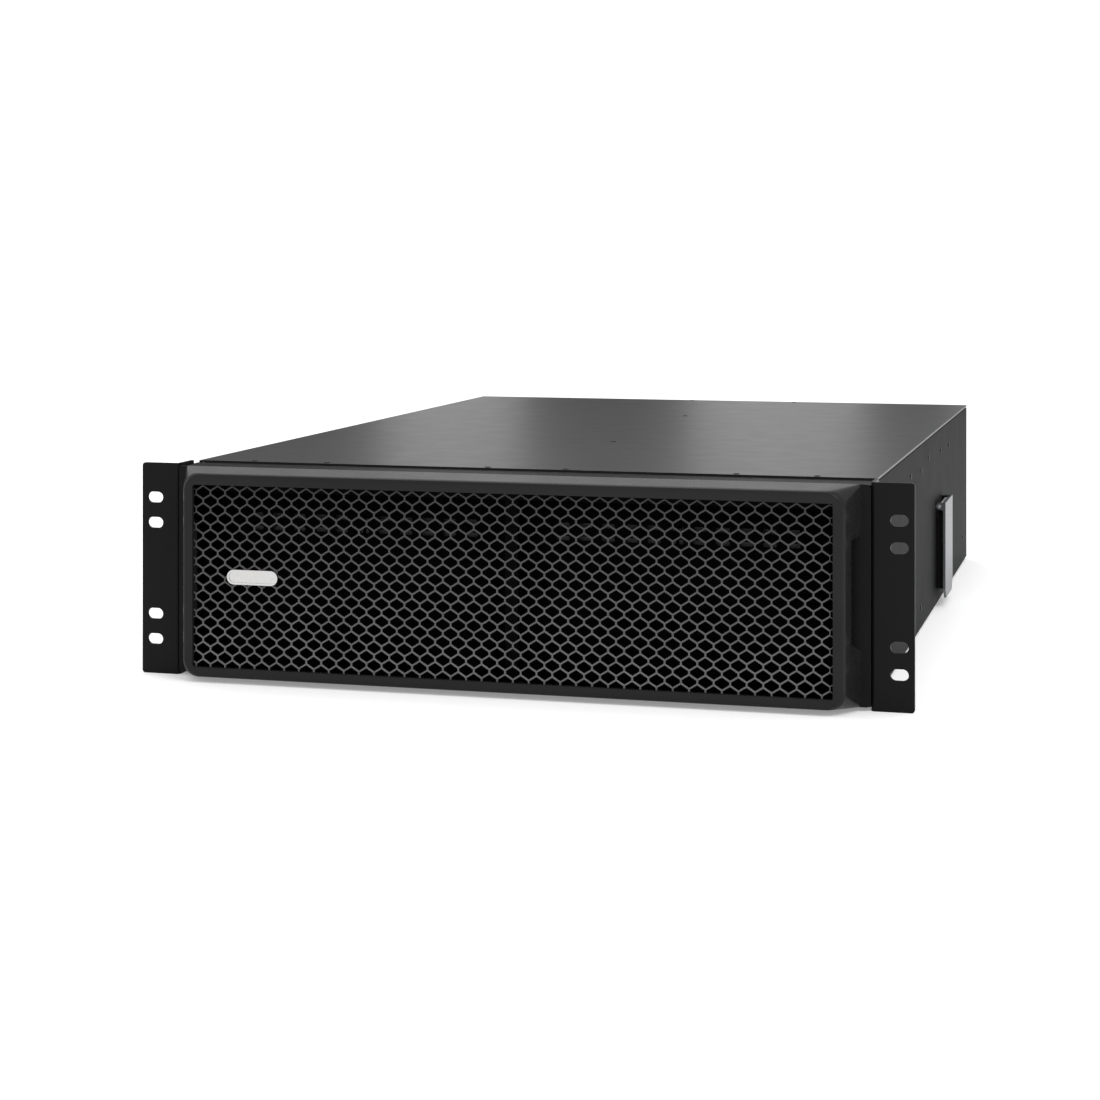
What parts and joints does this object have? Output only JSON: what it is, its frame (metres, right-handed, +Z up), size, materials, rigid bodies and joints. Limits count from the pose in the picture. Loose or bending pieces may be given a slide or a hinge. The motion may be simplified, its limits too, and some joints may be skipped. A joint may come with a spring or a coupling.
{
  "type": "server rack battery",
  "caption": "Black rack-mount battery pack, three rack units high, with slotted rack ears, a pull-off mesh bezel, folding side lift handles and rear power sockets.",
  "frame": {"origin": "centre of the overall box at the level of the bottom of the rack ears", "axes": "+X to the right seen from the front, +Y back into the rack, +Z up"},
  "size_m": [0.4826, 0.687, 0.1322],
  "materials": {
    "chassis_black": "fine textured satin powder coat",
    "cover_black": "fine textured satin powder coat",
    "ear_black": "satin powder coat",
    "screw_black": "black oxide",
    "zinc_plate": "blue-passivated zinc plate",
    "zinc_fastener": "zinc plated",
    "inner_black": "matte black inside coat",
    "block_case": "moulded case, fine texture",
    "brass": "bright",
    "copper": "bare copper bar",
    "clear_sheet": "insulating sheet",
    "plug_red": "moulded",
    "black_plastic": "moulded, fine texture",
    "fuse_ceramic": "glazed ceramic body",
    "board_green": "solder mask",
    "toggle_white": "moulded",
    "bezel_plastic": "moulded, satin",
    "mesh_black": "satin powder coat",
    "badge_silver": "satin silver"
  },
  "bodies": {
    "root": {"chassis_tray": "chassis_black", "top_cover": "cover_black", "rear_panel": "chassis_black", "front_frame": "inner_black", "centre_divider": "zinc_plate", "dock_bulkhead": "zinc_plate", "rack_ear_left": "ear_black", "rack_ear_right": "ear_black", "ear_screws": "screw_black", "cover_screws": "screw_black", "side_rivets": "screw_black", "module_tray_left": "zinc_plate", "module_tray_right": "zinc_plate", "module_front_left": "inner_black", "module_front_right": "inner_black", "module_pull_left": "inner_black", "module_pull_right": "inner_black", "module_thumbscrews": "inner_black", "battery_blocks_left": "block_case", "battery_blocks_right": "block_case", "block_terminals": "brass", "link_straps": "copper", "cover_sheet_left": "clear_sheet", "cover_sheet_right": "clear_sheet", "module_plugs": "plug_red", "dock_sockets": "black_plastic", "string_fuses": "fuse_ceramic", "busbars": "copper", "monitor_board": "board_green", "board_standoffs": "brass", "power_socket_in": "black_plastic", "power_socket_out": "black_plastic", "power_contacts": "copper", "data_jacks": "black_plastic", "ground_stud": "brass", "breaker_body": "black_plastic", "breaker_pin": "zinc_fastener", "handle_housing_left": "black_plastic", "handle_housing_right": "black_plastic", "handle_pins": "zinc_fastener", "bezel_catches": "zinc_plate"},
    "bezel": {"bezel_frame": "bezel_plastic", "bezel_mesh": "mesh_black", "bezel_clips": "black_plastic", "mesh_screws": "zinc_fastener", "badge_plate": "badge_silver"},
    "lift_handle_left": {"lift_handle_left": "zinc_plate"},
    "lift_handle_right": {"lift_handle_right": "zinc_plate"},
    "breaker_toggle": {"breaker_toggle": "toggle_white"}
  },
  "joints": [
    {"name": "bezel_pull", "type": "slide", "parent": "root", "child": "bezel", "axis": [0, -1, 0], "range_m": [0, 0.08]},
    {"name": "handle_left_fold", "type": "hinge", "parent": "root", "child": "lift_handle_left", "pos_m": [-0.2189, 0.09245, 0.0754], "axis": [0, 1, 0], "range_deg": [0, 90]},
    {"name": "handle_right_fold", "type": "hinge", "parent": "root", "child": "lift_handle_right", "pos_m": [0.2189, 0.09245, 0.0754], "axis": [0, -1, 0], "range_deg": [0, 90]},
    {"name": "breaker_switch", "type": "hinge", "parent": "root", "child": "breaker_toggle", "pos_m": [-0.078, 0.33395, 0.07], "axis": [-1, 0, 0], "range_deg": [0, 50]}
  ]
}
